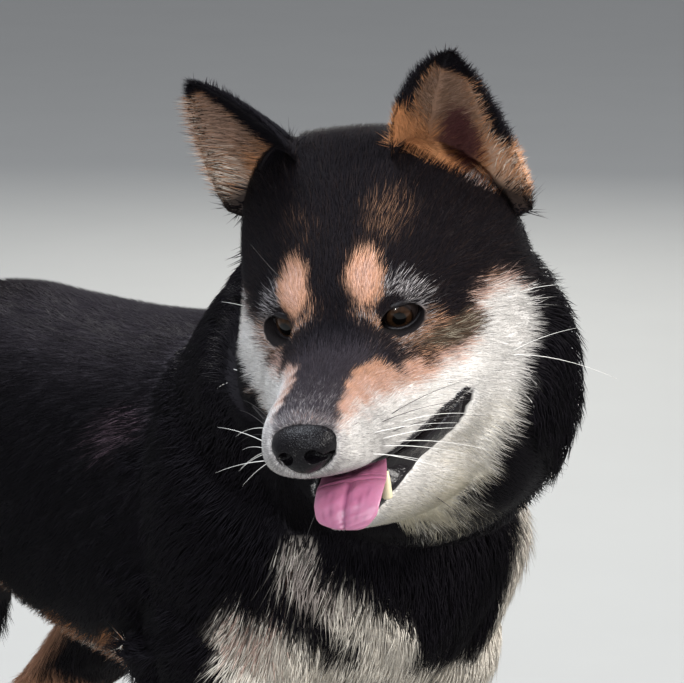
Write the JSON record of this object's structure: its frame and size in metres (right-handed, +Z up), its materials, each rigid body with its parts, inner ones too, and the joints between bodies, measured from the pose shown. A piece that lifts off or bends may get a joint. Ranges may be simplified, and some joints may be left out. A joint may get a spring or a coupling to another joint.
{
  "type": "shiba inu",
  "caption": "Standing shiba inu with its head turned to its right, mouth open with the tongue out, pricked ears and a curled tail; a still life-size model.",
  "frame": {"origin": "on the floor, below the middle of the whole model's outline", "axes": "the dog's body faces -Y, its left side is +X, and Z is up; the head is turned 59 degrees to its right"},
  "size_m": [0.2596, 0.5946, 0.5545],
  "materials": {
    "coat_black": "short straight guard hairs with a soft sheen",
    "coat_cream": "matte soft fur",
    "coat_tan": "matte soft fur",
    "nose_leather": "moist pebbled leather",
    "eye": "clear wet gloss",
    "tongue": "moist satin",
    "tooth": "satin enamel",
    "claw": "satin horn"
  },
  "bodies": {
    "root": {"head": "coat_black", "lower_jaw": "coat_cream", "nose": "nose_leather", "tongue": "tongue", "neck": "coat_black", "torso": "coat_black", "hindquarters": "coat_black", "eye_left": "eye", "ear_left": "coat_black", "canine_left": "tooth", "thigh_left": "coat_black", "front_leg_left": "coat_tan", "front_paw_left": "coat_cream", "front_claw_left_1": "claw", "front_claw_left_2": "claw", "front_claw_left_3": "claw", "front_claw_left_4": "claw", "hind_leg_left": "coat_tan", "hind_paw_left": "coat_cream", "hind_claw_left_1": "claw", "hind_claw_left_2": "claw", "hind_claw_left_3": "claw", "hind_claw_left_4": "claw", "eye_right": "eye", "ear_right": "coat_black", "canine_right": "tooth", "thigh_right": "coat_black", "front_leg_right": "coat_tan", "front_paw_right": "coat_cream", "front_claw_right_1": "claw", "front_claw_right_2": "claw", "front_claw_right_3": "claw", "front_claw_right_4": "claw", "hind_leg_right": "coat_tan", "hind_paw_right": "coat_cream", "hind_claw_right_1": "claw", "hind_claw_right_2": "claw", "hind_claw_right_3": "claw", "hind_claw_right_4": "claw", "tail_1": "coat_black", "tail_2": "coat_black", "tail_3": "coat_black"}
  },
  "joints": []
}
